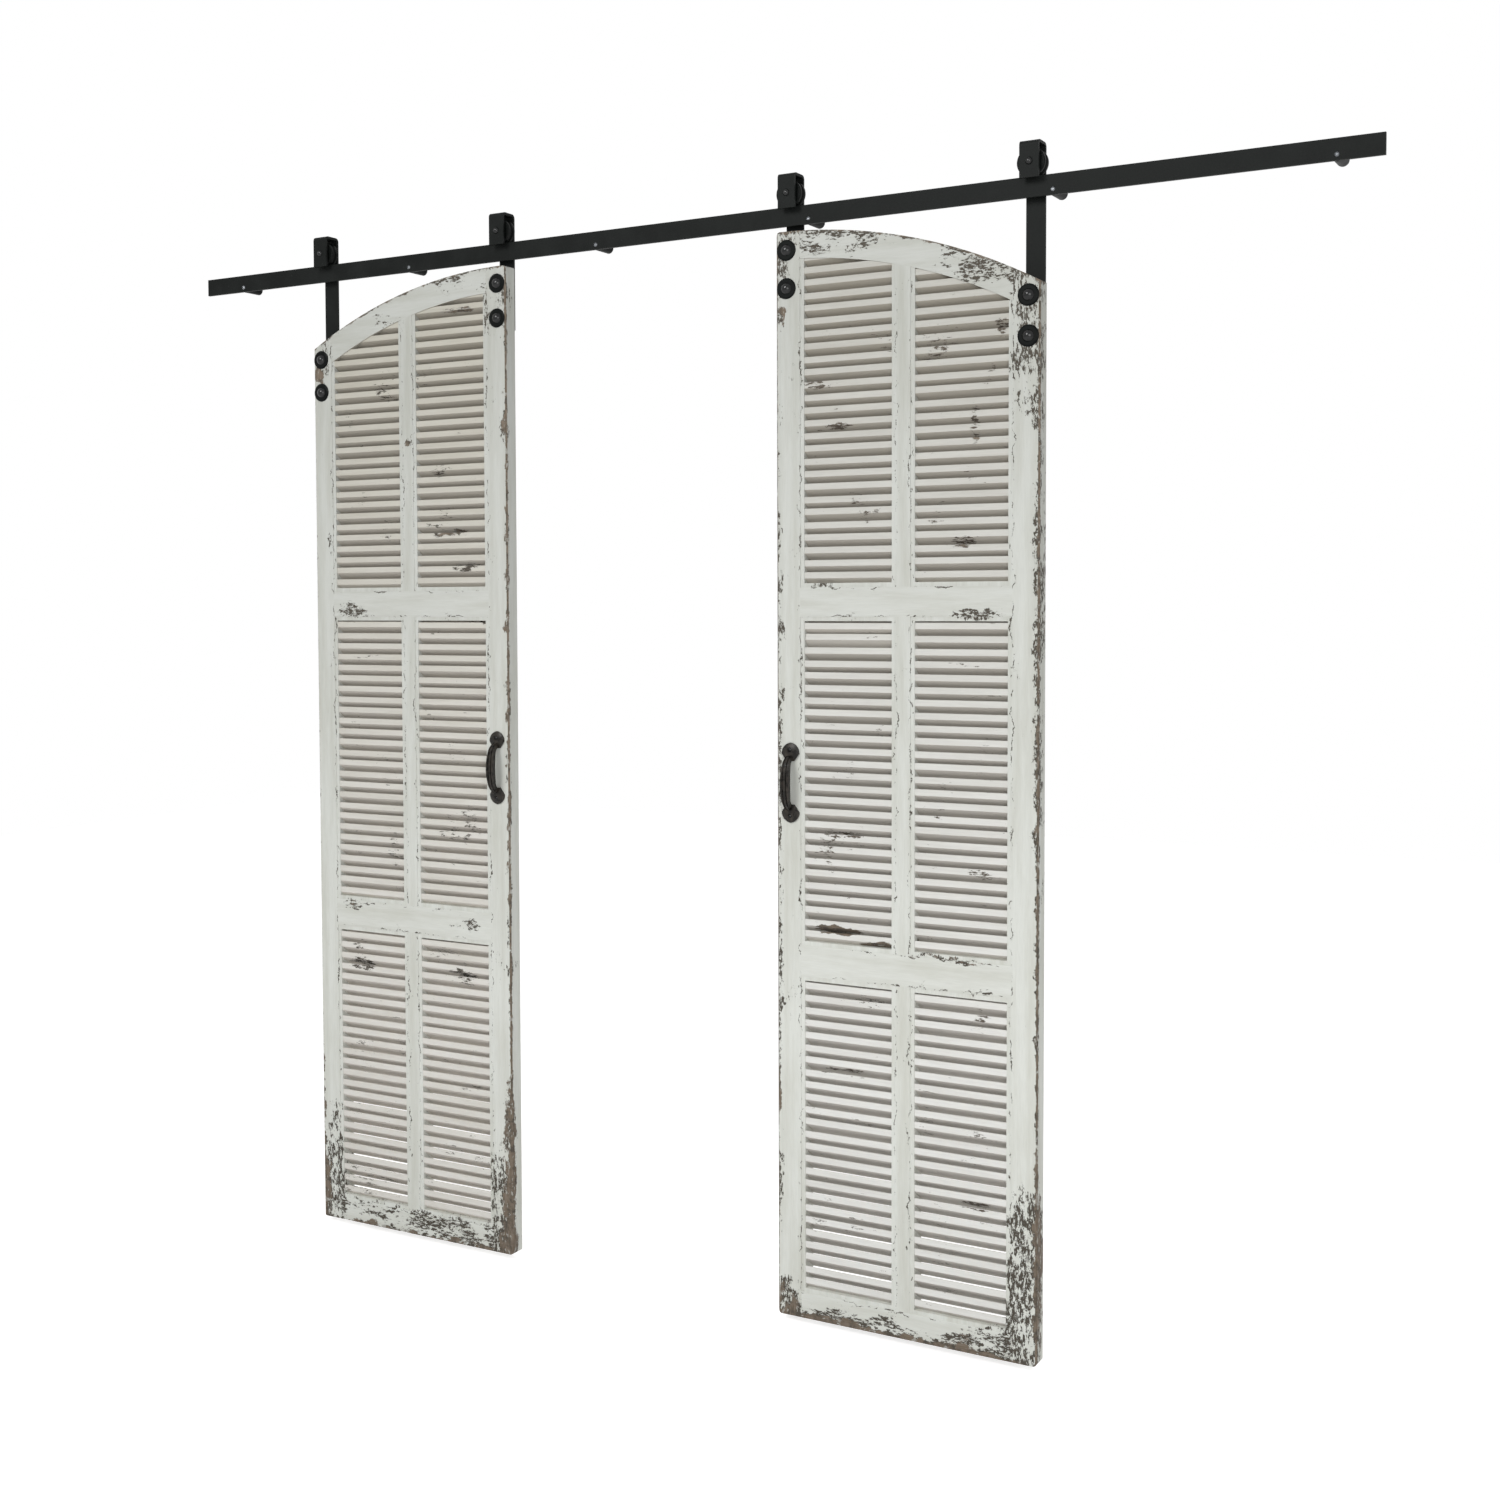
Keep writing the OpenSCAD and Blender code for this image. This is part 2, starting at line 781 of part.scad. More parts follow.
// A domed shield at the upper end of the grip
module foot() {
  intersection() {
    rotate([90, 0, 0])
      linear_extrude(foot_thick)
        foot_outline();
    translate([0, foot_dome - foot_thick, foot_z])
      sphere(r = foot_dome);
  }
}

// Two arcs that meet in a point at the tip, and a skirt that narrows to the grip
module foot_outline() {
  intersection() {
    translate([-foot_offset, foot_z])
      circle(r = foot_arc);
    translate([foot_offset, foot_z])
      circle(r = foot_arc);
    translate([-foot_width, foot_z])
      square([2 * foot_width, foot_tip + cut_over]);
  }
  polygon([[-foot_width / 2, foot_z], [foot_width / 2, foot_z],
    [foot_neck / 2, foot_z - foot_skirt], [-foot_neck / 2, foot_z - foot_skirt]]);
}

module handle_screw_shape() {
  for (s = [-1, 1])
    translate([handle_x, door_front_y - foot_thick + foot_seat, handle_z + s * foot_screw_z])
      button_screw(handle_screw_dia, foot_thick - foot_seat + handle_screw_grip, handle_screw_head,
        foot_seat);
}

// Left leaf sub-parts
module left_outer_stile() { color(paint) left_leaf() outer_stile_shape(); }
module left_inner_stile() { color(paint) left_leaf() inner_stile_shape(); }
module left_top_rail() { color(paint) left_leaf() top_rail_shape(); }
module left_upper_cross_rail() { color(paint) left_leaf() upper_cross_shape(); }
module left_lower_cross_rail() { color(paint) left_leaf() lower_cross_shape(); }
module left_bottom_rail() { color(paint) left_leaf() bottom_rail_shape(); }
module left_muntins() { color(paint) left_leaf() muntin_shape(); }
module left_beads() { color(paint) left_leaf() bead_shape(); }
module left_upper_near_louvres() { color(slat_paint) left_leaf() arched_column(near_x); }
module left_upper_far_louvres() { color(slat_paint) left_leaf() arched_column(far_x); }
module left_middle_near_louvres() { color(slat_paint) left_leaf() middle_column(near_x); }
module left_middle_far_louvres() { color(slat_paint) left_leaf() middle_column(far_x); }
module left_lower_near_louvres() { color(slat_paint) left_leaf() lower_column(near_x); }
module left_lower_far_louvres() { color(slat_paint) left_leaf() lower_column(far_x); }
module left_inner_hanger() { color(black) left_leaf() hanger_shape(inner_x); }
module left_outer_hanger() { color(black) left_leaf() hanger_shape(outer_x); }
module left_door_bolts() { color(black) left_leaf() door_bolt_shape(); }
module left_dished_washers() { color(black) left_leaf() washer_shape(); }
module left_door_nuts() { color(steel) left_leaf() door_nut_shape(); }
module left_axle_bolts() { color(black) left_leaf() axle_bolt_shape(); }
module left_axle_nuts() { color(steel) left_leaf() axle_nut_shape(); }
module left_inner_wheel() { color(black) left_leaf() wheel_shape(inner_x); }
module left_outer_wheel() { color(black) left_leaf() wheel_shape(outer_x); }
module left_inner_bush() { color(steel) left_leaf() bush_shape(inner_x); }
module left_outer_bush() { color(steel) left_leaf() bush_shape(outer_x); }
module left_handle() { color(iron) left_leaf() handle_shape(); }
module left_handle_screws() { color(iron) left_leaf() handle_screw_shape(); }

// Right leaf sub-parts
module right_outer_stile() { color(paint) right_leaf() outer_stile_shape(); }
module right_inner_stile() { color(paint) right_leaf() inner_stile_shape(); }
module right_top_rail() { color(paint) right_leaf() top_rail_shape(); }
module right_upper_cross_rail() { color(paint) right_leaf() upper_cross_shape(); }
module right_lower_cross_rail() { color(paint) right_leaf() lower_cross_shape(); }
module right_bottom_rail() { color(paint) right_leaf() bottom_rail_shape(); }
module right_muntins() { color(paint) right_leaf() muntin_shape(); }
module right_beads() { color(paint) right_leaf() bead_shape(); }
module right_upper_near_louvres() { color(slat_paint) right_leaf() arched_column(near_x); }
module right_upper_far_louvres() { color(slat_paint) right_leaf() arched_column(far_x); }
module right_middle_near_louvres() { color(slat_paint) right_leaf() middle_column(near_x, loose = true); }
module right_middle_far_louvres() { color(slat_paint) right_leaf() middle_column(far_x); }
module right_lower_near_louvres() { color(slat_paint) right_leaf() lower_column(near_x); }
module right_lower_far_louvres() { color(slat_paint) right_leaf() lower_column(far_x); }
module right_inner_hanger() { color(black) right_leaf() hanger_shape(inner_x); }
module right_outer_hanger() { color(black) right_leaf() hanger_shape(outer_x); }
module right_door_bolts() { color(black) right_leaf() door_bolt_shape(); }
module right_dished_washers() { color(black) right_leaf() washer_shape(); }
module right_door_nuts() { color(steel) right_leaf() door_nut_shape(); }
module right_axle_bolts() { color(black) right_leaf() axle_bolt_shape(); }
module right_axle_nuts() { color(steel) right_leaf() axle_nut_shape(); }
module right_inner_wheel() { color(black) right_leaf() wheel_shape(inner_x); }
module right_outer_wheel() { color(black) right_leaf() wheel_shape(outer_x); }
module right_inner_bush() { color(steel) right_leaf() bush_shape(inner_x); }
module right_outer_bush() { color(steel) right_leaf() bush_shape(outer_x); }
module right_handle() { color(iron) right_leaf() handle_shape(); }
module right_handle_screws() { color(iron) right_leaf() handle_screw_shape(); }

rail();
standoffs();
rail_screws();
left_outer_stile();
left_inner_stile();
left_top_rail();
left_upper_cross_rail();
left_lower_cross_rail();
left_bottom_rail();
left_muntins();
left_beads();
left_upper_near_louvres();
left_upper_far_louvres();
left_middle_near_louvres();
left_middle_far_louvres();
left_lower_near_louvres();
left_lower_far_louvres();
left_inner_hanger();
left_outer_hanger();
left_door_bolts();
left_dished_washers();
left_door_nuts();
left_axle_bolts();
left_axle_nuts();
left_inner_wheel();
left_outer_wheel();
left_inner_bush();
left_outer_bush();
left_handle();
left_handle_screws();
right_outer_stile();
right_inner_stile();
right_top_rail();
right_upper_cross_rail();
right_lower_cross_rail();
right_bottom_rail();
right_muntins();
right_beads();
right_upper_near_louvres();
right_upper_far_louvres();
right_middle_near_louvres();
right_middle_far_louvres();
right_lower_near_louvres();
right_lower_far_louvres();
right_inner_hanger();
right_outer_hanger();
right_door_bolts();
right_dished_washers();
right_door_nuts();
right_axle_bolts();
right_axle_nuts();
right_inner_wheel();
right_outer_wheel();
right_inner_bush();
right_outer_bush();
right_handle();
right_handle_screws();
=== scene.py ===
"""Double sliding louvred door: finishes, floor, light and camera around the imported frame."""

import logging
import math
from dataclasses import dataclass
from enum import Enum
from typing import Any

import bpy
from mathutils import Matrix, Vector


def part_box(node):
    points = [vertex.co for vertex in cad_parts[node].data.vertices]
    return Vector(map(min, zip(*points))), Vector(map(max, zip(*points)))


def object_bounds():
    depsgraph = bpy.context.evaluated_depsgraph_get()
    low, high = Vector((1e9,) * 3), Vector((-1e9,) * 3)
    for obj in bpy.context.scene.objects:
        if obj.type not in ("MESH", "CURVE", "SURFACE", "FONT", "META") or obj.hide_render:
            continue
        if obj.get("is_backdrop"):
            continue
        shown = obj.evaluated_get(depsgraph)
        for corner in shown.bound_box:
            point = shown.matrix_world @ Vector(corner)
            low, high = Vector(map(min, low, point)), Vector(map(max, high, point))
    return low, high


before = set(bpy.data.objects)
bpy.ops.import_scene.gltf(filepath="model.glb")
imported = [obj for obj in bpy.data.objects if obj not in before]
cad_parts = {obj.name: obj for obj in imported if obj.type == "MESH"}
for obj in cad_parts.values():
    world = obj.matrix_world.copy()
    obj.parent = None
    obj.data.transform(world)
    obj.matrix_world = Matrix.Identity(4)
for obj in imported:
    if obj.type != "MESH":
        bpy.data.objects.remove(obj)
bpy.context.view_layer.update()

# Millimetres in a metre, since the finishes are laid out in millimetres
MM = 1000.0
WHITE = (1.0, 1.0, 1.0, 1.0)
# Sockets of a Mix node that blends colours: the share of the colour above, the colour below and the one above
SHARE = 0
BELOW = 6
ABOVE = 7
# Result socket and mode of such a node
BLEND = {"out": 2, "data_type": "RGBA"}
LOG = logging.getLogger("double_sliding_door")

Material = bpy.types.Material
Socket = bpy.types.NodeSocket
Tree = bpy.types.NodeTree
Triple = tuple[float, float, float]


def linear(code: str) -> tuple[float, float, float, float]:
    """Turn an sRGB hex code into the linear colour that a shader socket takes.

    Args:
        code: six hex digits, such as "c8c8c0".

    Returns:
        Linear red, green and blue, and an alpha of 1.
    """
    parts = [int(code[i:i + 2], 16) / 255 for i in (0, 2, 4)]
    values = [c / 12.92 if c <= 0.04045 else ((c + 0.055) / 1.055) ** 2.4 for c in parts]
    return values[0], values[1], values[2], 1.0


def add(
    tree: Tree, kind: str, inputs: dict[Any, Any] | None = None, out: Any = 0, **settings: Any
) -> Socket | None:
    """Add one shader node, set it, and link or fill its sockets.

    Args:
        tree: node tree that gets the node.
        kind: node type without its "ShaderNode" start.
        inputs: value or source socket for each input, by name or place.
        out: name or place of the output to hand back.
        settings: properties of the node.

    Returns:
        The output socket, or None for a node that has none.
    """
    node = tree.nodes.new("ShaderNode" + kind)
    for name, value in settings.items():
        setattr(node, name, value)
    for place, value in (inputs or {}).items():
        if isinstance(value, Socket):
            tree.links.new(value, node.inputs[place])
        else:
            node.inputs[place].default_value = value
    return node.outputs[out] if len(node.outputs) else None


def direct_view(tree: Tree) -> Socket:
    """Tell what the camera sees, itself or through gloss and glass, from what only lights other things.

    Args:
        tree: node tree that gets the nodes.

    Returns:
        1 for a ray that shows the background, else 0.
    """
    ray = add(tree, "LightPath").node.outputs
    seen = add(tree, "Math", {0: ray["Is Camera Ray"], 1: ray["Is Glossy Ray"]}, operation="MAXIMUM")
    return add(tree, "Math", {0: seen, 1: ray["Is Transmission Ray"]}, operation="MAXIMUM")


def new_tree(name: str) -> tuple[Material, Tree]:
    """Make an empty node material.

    Args:
        name: name of the material.

    Returns:
        The material and its cleared node tree.
    """
    material = bpy.data.materials.new(name)
    material.use_nodes = True
    material.node_tree.nodes.clear()
    return material, material.node_tree


class Side(Enum):
    """Which of the two leaves: its name and the direction from its inner to its outer edge."""

    LEFT = ("left", -1.0)
    RIGHT = ("right", 1.0)

    @property
    def label(self) -> str:
        """Name that the leaf's nodes start with."""
        return self.value[0]

    @property
    def outward(self) -> float:
        """Sign of X from the inner to the outer edge."""
        return self.value[1]


class Grain(Enum):
    """Direction in which a board's grain and brush marks run, as the pattern's squeeze along X, Y, Z."""

    UPRIGHT = (1.0, 1.0, 0.09)
    ACROSS = (0.09, 1.0, 1.0)


@dataclass(frozen=True)
class WearPatch:
    """A place on a leaf where the paint is worn, in leaf millimetres.

    across is measured from the inner edge outwards, up from the bottom, and depth from the front face
    inwards. bare says how much large flaking there is, and speck how many small chips. An amount of 1 takes
    off about half of the paint.
    """

    across: float
    up: float
    reach_across: float
    reach_up: float
    bare: float
    speck: float
    depth: float = 0.0
    reach_depth: float = 60.0


@dataclass(frozen=True)
class Flaking:
    """Masks of lost paint: the large flakes, all bare places, and the primer's rim round the flakes."""

    large: Socket
    bare: Socket
    rim: Socket


@dataclass(frozen=True)
class ChippedPaint:
    """Chalky brushed paint on old timber, flaked to primer and bare wood where the leaf is worn.

    Sizes are in millimetres. The painted lighting is painted light and shade on the coat at the two shade
    heights, and the painted underside colours are painted shade and light on faces that look down.
    """

    name: str
    side: Side
    grain: Grain
    origin: Triple
    patches: tuple[WearPatch, ...]
    paint: str = "d6d8d2"
    paint_aged: str = "c6c7be"
    primer: str = "9b9992"
    wood: str = "7d7164"
    wood_dark: str = "5e5244"
    flake_dark: str = "48433b"
    # Painted shade and light on faces that look down: their colour low on the leaf and high up
    soil_low: str = "e6e2da"
    soil_high: str = "a8a296"
    # Heights between which the painted shade on the coat deepens, in leaf millimetres
    shade_low: float = 500.0
    shade_high: float = 1850.0
    # Painted light and shade: the coat's brightness at the lower and at the upper shade height
    tint_low: Triple = (1.0, 1.0, 1.0)
    tint_high: Triple = (0.7, 0.7, 0.7)
    arch_centre: float = 987.0
    arch_radius: float = 1013.0
    arris: float = 0.85
    chip_size: float = 18.0
    chip_contrast: float = 1.7
    chip_shift: float = -0.4
    chip_pull: float = 0.36
    speck_size: float = 5.0
    speck_limit: float = 1.2
    speck_pull: float = 0.24
    crumb_size: float = 6.0
    stray: float = 44.0
    stray_size: float = 45.0
    clump_size: float = 22.0
    stretch: float = 0.65
    cluster_size: float = 70.0
    cluster: float = 0.75
    stroke_size: float = 2.4
    cloud_size: float = 30.0
    spot_size: float = 26.0
    roughness: float = 0.68
    bare_roughness: float = 0.86
    coat_thickness: float = 0.4
    stroke_relief: float = 0.35
    relief: float = 0.6
    refraction: float = 1.47

    # Middle of a noise's range
    NOISE_MIDDLE = 0.5
    # How far a chamfer's normal leans to the front, and how much it may differ
    CHAMFER_LEAN = 0.707
    CHAMFER_SPREAD = 0.2
    # The worn line along the arch: where it starts and is full, in from the edge, and its least height
    ARCH_LINE_START = 7.0
    ARCH_LINE_FULL = 1.0
    ARCH_LEAST = 700.0

    # Fineness of each noise
    STRAY_NOISE = {"Detail": 5.0, "Roughness": 0.65}
    CHIP_NOISE = {"Detail": 8.0, "Roughness": 0.72}
    SPECK_NOISE = {"Detail": 5.0, "Roughness": 0.75}
    GROUP_NOISE = {"Detail": 3.0}
    CLUMP_NOISE = {"Detail": 4.0, "Roughness": 0.7}
    CRUMB_NOISE = {"Detail": 3.0, "Roughness": 0.6}
    STROKE_NOISE = {"Detail": 4.0, "Roughness": 0.6}
    CLOUD_NOISE = {"Detail": 5.0, "Roughness": 0.65}
    SPOT_NOISE = {"Detail": 7.0, "Roughness": 0.75}

    # Where each pattern sets in and where it is full
    PATCH_FADE = {"From Min": 1.0, "From Max": 0.3}
    CLUMPS = {"From Min": 0.37, "From Max": 0.62, "To Min": 0.25, "To Max": 1.5}
    GROUPS = {"From Min": 0.48, "From Max": 0.72}
    LARGE_FLAKES = {"From Min": 0.79, "From Max": 0.81}
    SMALL_CHIPS = {"From Min": 0.74, "From Max": 0.765}
    CRUMBS = {"From Min": 0.62, "From Max": 0.6}
    PRIMER_RIM = {"From Min": 0.74, "From Max": 0.79}
    AGEING = {"From Min": 0.4, "From Max": 0.68}
    STROKES = {"From Min": 0.2, "From Max": 0.8, "To Min": 0.94, "To Max": 1.04}
    # Painted shade: how steeply a face must look down to take the painted underside colour
    FACING_DOWN = {"From Min": -0.3, "From Max": -0.75}
    DARK_STREAKS = {"From Min": 0.35, "From Max": 0.68}
    DARK_SPOTS = {"From Min": 0.46, "From Max": 0.6}

    def leaf_place(self, tree: Tree) -> Socket:
        """Give the point on the leaf in millimetres from its inner front bottom corner.

        Args:
            tree: node tree of the material.

        Returns:
            The point as a vector across, in and up.
        """
        sign = self.side.outward
        x, y, z = self.origin
        where = add(tree, "TexCoord", out="Object")
        scale = (sign * MM, MM, MM)
        shift = (-sign * x * MM, -y * MM, -z * MM)
        return add(tree, "VectorMath", {0: where, 1: scale, 2: shift}, operation="MULTIPLY_ADD")

    def edge_wear(self, tree: Tree, place: Socket) -> Socket:
        """Mark the worn arrises: the upright chamfers and a thin line along the arch.

        Args:
            tree: node tree of the material.
            place: point on the leaf in millimetres.

        Returns:
            How worn the edges are.
        """
        facing = add(tree, "SeparateXYZ", {0: add(tree, "TexCoord", out="Normal")}, out="Y")
        flat = add(tree, "Math", {0: facing}, operation="ABSOLUTE")
        lean = {0: flat, 1: self.CHAMFER_LEAN, 2: self.CHAMFER_SPREAD}
        bevel = add(tree, "Math", lean, operation="COMPARE")
        upright = add(tree, "VectorMath", {0: place, 1: (1.0, 0.0, 1.0)}, operation="MULTIPLY")
        centre = (0.0, 0.0, self.arch_centre)
        out = add(tree, "VectorMath", {0: upright, 1: centre}, out="Value", operation="DISTANCE")
        start = self.arch_radius - self.ARCH_LINE_START
        full = self.arch_radius - self.ARCH_LINE_FULL
        arch = add(tree, "MapRange", {"Value": out, "From Min": start, "From Max": full})
        high = add(tree, "SeparateXYZ", {0: place}, out="Z")
        least = self.arch_centre + self.ARCH_LEAST
        above = add(tree, "Math", {0: high, 1: least}, operation="GREATER_THAN")
        arch = add(tree, "Math", {0: arch, 1: above}, operation="MULTIPLY")
        both = add(tree, "Math", {0: bevel, 1: arch}, operation="MAXIMUM")
        return add(tree, "Math", {0: both, 1: self.arris}, operation="MULTIPLY")

    def ragged_place(self, tree: Tree, place: Socket) -> Socket:
        """Push points about by a noise, so that the worn patches get ragged outlines.

        Args:
            tree: node tree of the material.
            place: point on the leaf in millimetres.

        Returns:
            The moved point.
        """
        noise = {"Vector": place, "Scale": 1 / self.stray_size, **self.STRAY_NOISE}
        stray = add(tree, "TexNoise", noise, out="Color")
        reach = (self.stray, 0.0, self.stray)
        shift = tuple(-self.NOISE_MIDDLE * r for r in reach)
        stray = add(tree, "VectorMath", {0: stray, 1: reach, 2: shift}, operation="MULTIPLY_ADD")
        return add(tree, "VectorMath", {0: place, 1: stray}, operation="ADD")

    def wear_fields(self, tree: Tree, place: Socket) -> tuple[Socket, Socket]:
        """Add up how worn the paint is at a point.

        Args:
            tree: node tree of the material.
            place: point on the leaf in millimetres.

        Returns:
            The amounts of large flaking and of small chips.
        """
        bare = self.edge_wear(tree, place)
        speck = bare
        ragged = self.ragged_place(tree, place)
        for patch in self.patches:
            reach = (1 / patch.reach_across, 1 / patch.reach_depth, 1 / patch.reach_up)
            centre = (patch.across, patch.depth, patch.up)
            shift = tuple(-c * r for c, r in zip(centre, reach))
            scaled = add(tree, "VectorMath", {0: ragged, 1: reach, 2: shift}, operation="MULTIPLY_ADD")
            away = add(tree, "VectorMath", {0: scaled}, out="Value", operation="LENGTH")
            fade = {"Value": away, **self.PATCH_FADE}
            share = add(tree, "MapRange", fade, interpolation_type="SMOOTHSTEP")
            bare = add(tree, "Math", {0: share, 1: patch.bare, 2: bare}, operation="MULTIPLY_ADD")
            speck = add(tree, "Math", {0: share, 1: patch.speck, 2: speck}, operation="MULTIPLY_ADD")
        return bare, speck

    def flaking(self, tree: Tree, place: Socket) -> Flaking:
        """Decide where the paint has come off.

        Args:
            tree: node tree of the material.
            place: point on the leaf in millimetres.

        Returns:
            The masks of lost paint.
        """
        bare_wear, speck_wear = self.wear_fields(tree, place)
        squeeze = tuple(1 - self.stretch + self.stretch * s for s in self.grain.value)
        along = add(tree, "VectorMath", {0: place, 1: squeeze}, operation="MULTIPLY")
        clumps = {"Vector": along, "Scale": 1 / self.clump_size, **self.CLUMP_NOISE}
        clump = add(tree, "MapRange", {"Value": add(tree, "TexNoise", clumps), **self.CLUMPS})
        groups = {"Vector": place, "Scale": 1 / self.cluster_size, **self.GROUP_NOISE}
        gather = {"Value": add(tree, "TexNoise", groups), **self.GROUPS, "To Max": self.cluster}
        group = add(tree, "MapRange", gather)
        speck_wear = add(tree, "Math", {0: speck_wear, 1: clump, 2: group}, operation="MULTIPLY_ADD")
        speck_wear = add(tree, "Math", {0: speck_wear, 1: self.speck_limit}, operation="MINIMUM")
        flakes = {"Vector": along, "Scale": 1 / self.chip_size, **self.CHIP_NOISE}
        spread = {0: add(tree, "TexNoise", flakes), 1: self.chip_contrast, 2: self.chip_shift}
        flake = add(tree, "Math", spread, operation="MULTIPLY_ADD")
        flake = add(tree, "Math", {0: bare_wear, 1: self.chip_pull, 2: flake}, operation="MULTIPLY_ADD")
        specks = {"Vector": along, "Scale": 1 / self.speck_size, **self.SPECK_NOISE}
        speck = add(tree, "TexNoise", specks)
        speck = add(tree, "Math", {0: speck_wear, 1: self.speck_pull, 2: speck}, operation="MULTIPLY_ADD")
        large = add(tree, "MapRange", {"Value": flake, **self.LARGE_FLAKES})
        small = add(tree, "MapRange", {"Value": speck, **self.SMALL_CHIPS})
        bare = add(tree, "Math", {0: large, 1: small}, operation="MAXIMUM")
        crumbs = {"Vector": along, "Scale": 1 / self.crumb_size, **self.CRUMB_NOISE}
        crumb = add(tree, "MapRange", {"Value": add(tree, "TexNoise", crumbs), **self.CRUMBS})
        bare = add(tree, "Math", {0: bare, 1: crumb}, operation="MULTIPLY")
        rim = add(tree, "MapRange", {"Value": flake, **self.PRIMER_RIM})
        return Flaking(large, bare, rim)

    def coat(self, tree: Tree, place: Socket, strokes: Socket, grain: Socket) -> Socket:
        """Colour the paint: aged in clouds, streaked by the brush, with painted shade that deepens with
        height and painted shade and light on faces that look down.

        Args:
            tree: node tree of the material.
            place: point on the leaf in millimetres.
            strokes: the point, squeezed along the grain.
            grain: the grain's pattern.

        Returns:
            The colour of the paint.
        """
        clouds = {"Vector": strokes, "Scale": 1 / self.cloud_size, **self.CLOUD_NOISE}
        aged = add(tree, "MapRange", {"Value": add(tree, "TexNoise", clouds), **self.AGEING})
        paints = {SHARE: aged, BELOW: linear(self.paint), ABOVE: linear(self.paint_aged)}
        coat = add(tree, "Mix", paints, **BLEND)
        tone = add(tree, "MapRange", {"Value": grain, **self.STROKES})
        coat = add(tree, "VectorMath", {0: coat, "Scale": tone}, operation="SCALE")
        # Painted shade: the coat darkens between the shade heights, from the painted lighting low to high
        height = add(tree, "SeparateXYZ", {0: place}, out="Z")
        heights = {"Value": height, "From Min": self.shade_low, "From Max": self.shade_high}
        rise = add(tree, "MapRange", heights)
        change = tuple(high - low for low, high in zip(self.tint_low, self.tint_high))
        tint = add(tree, "VectorMath", {0: rise, 1: change, 2: self.tint_low}, operation="MULTIPLY_ADD")
        coat = add(tree, "VectorMath", {0: coat, 1: tint}, operation="MULTIPLY")
        # Painted shade and light: faces that look down take a colour that goes from light low down to dark
        # high up
        under = add(tree, "SeparateXYZ", {0: add(tree, "TexCoord", out="Normal")}, out="Z")
        down = add(tree, "MapRange", {"Value": under, **self.FACING_DOWN})
        painted_underside_mix = {SHARE: rise, BELOW: linear(self.soil_low), ABOVE: linear(self.soil_high)}
        painted_underside_colour = add(tree, "Mix", painted_underside_mix, **BLEND)
        return add(tree, "Mix", {SHARE: down, BELOW: coat, ABOVE: painted_underside_colour}, **BLEND)

    def bare_wood(self, tree: Tree, place: Socket, grain: Socket, large: Socket) -> Socket:
        """Colour the bare places: streaked brown in the large flakes, and dark in the small chips.

        Args:
            tree: node tree of the material.
            place: point on the leaf in millimetres.
            grain: the grain's pattern.
            large: mask of the large flakes.

        Returns:
            The colour of the bare wood.
        """
        dark = linear(self.flake_dark)
        streak = add(tree, "MapRange", {"Value": grain, **self.DARK_STREAKS})
        woods = {SHARE: streak, BELOW: linear(self.wood), ABOVE: linear(self.wood_dark)}
        timber = add(tree, "Mix", woods, **BLEND)
        spots = {"Vector": place, "Scale": 1 / self.spot_size, **self.SPOT_NOISE}
        spot = add(tree, "MapRange", {"Value": add(tree, "TexNoise", spots), **self.DARK_SPOTS})
        flake = add(tree, "Mix", {SHARE: spot, BELOW: timber, ABOVE: dark}, **BLEND)
        return add(tree, "Mix", {SHARE: large, BELOW: dark, ABOVE: flake}, **BLEND)

    def colour(self, tree: Tree, place: Socket, lost: Flaking) -> tuple[Socket, Socket]:
        """Lay bare wood, primer and paint over each other.

        Args:
            tree: node tree of the material.
            place: point on the leaf in millimetres.
            lost: masks of lost paint.

        Returns:
            The surface's colour, and the grain's pattern for the bump.
        """
        strokes = add(tree, "VectorMath", {0: place, 1: self.grain.value}, operation="MULTIPLY")
        fibres = {"Vector": strokes, "Scale": 1 / self.stroke_size, **self.STROKE_NOISE}
        grain = add(tree, "TexNoise", fibres)
        coat = self.coat(tree, place, strokes, grain)
        wood = self.bare_wood(tree, place, grain, lost.large)
        rims = {SHARE: lost.rim, BELOW: coat, ABOVE: linear(self.primer)}
        layered = add(tree, "Mix", rims, **BLEND)
        return add(tree, "Mix", {SHARE: lost.bare, BELOW: layered, ABOVE: wood}, **BLEND), grain

    def make(self) -> Material:
        """Build the material.

        Returns:
            The finished paint.
        """
        material, tree = new_tree(self.name)
        place = self.leaf_place(tree)
        lost = self.flaking(tree, place)
        colour, grain = self.colour(tree, place, lost)
        dulls = {"Value": lost.bare, "To Min": self.roughness, "To Max": self.bare_roughness}
        dull = add(tree, "MapRange", dulls)
        left = add(tree, "Math", {0: lost.bare, 1: -1.0, 2: 1.0}, operation="MULTIPLY_ADD")
        height = add(tree, "Math", {0: grain, 1: self.stroke_relief, 2: left}, operation="MULTIPLY_ADD")
        step = {"Strength": self.relief, "Distance": self.coat_thickness / MM, "Height": height}
        bump = add(tree, "Bump", step)
        shader = {"Base Color": colour, "Roughness": dull, "Normal": bump, "IOR": self.refraction}
        surface = add(tree, "BsdfPrincipled", shader)
        add(tree, "OutputMaterial", {"Surface": surface})
        return material


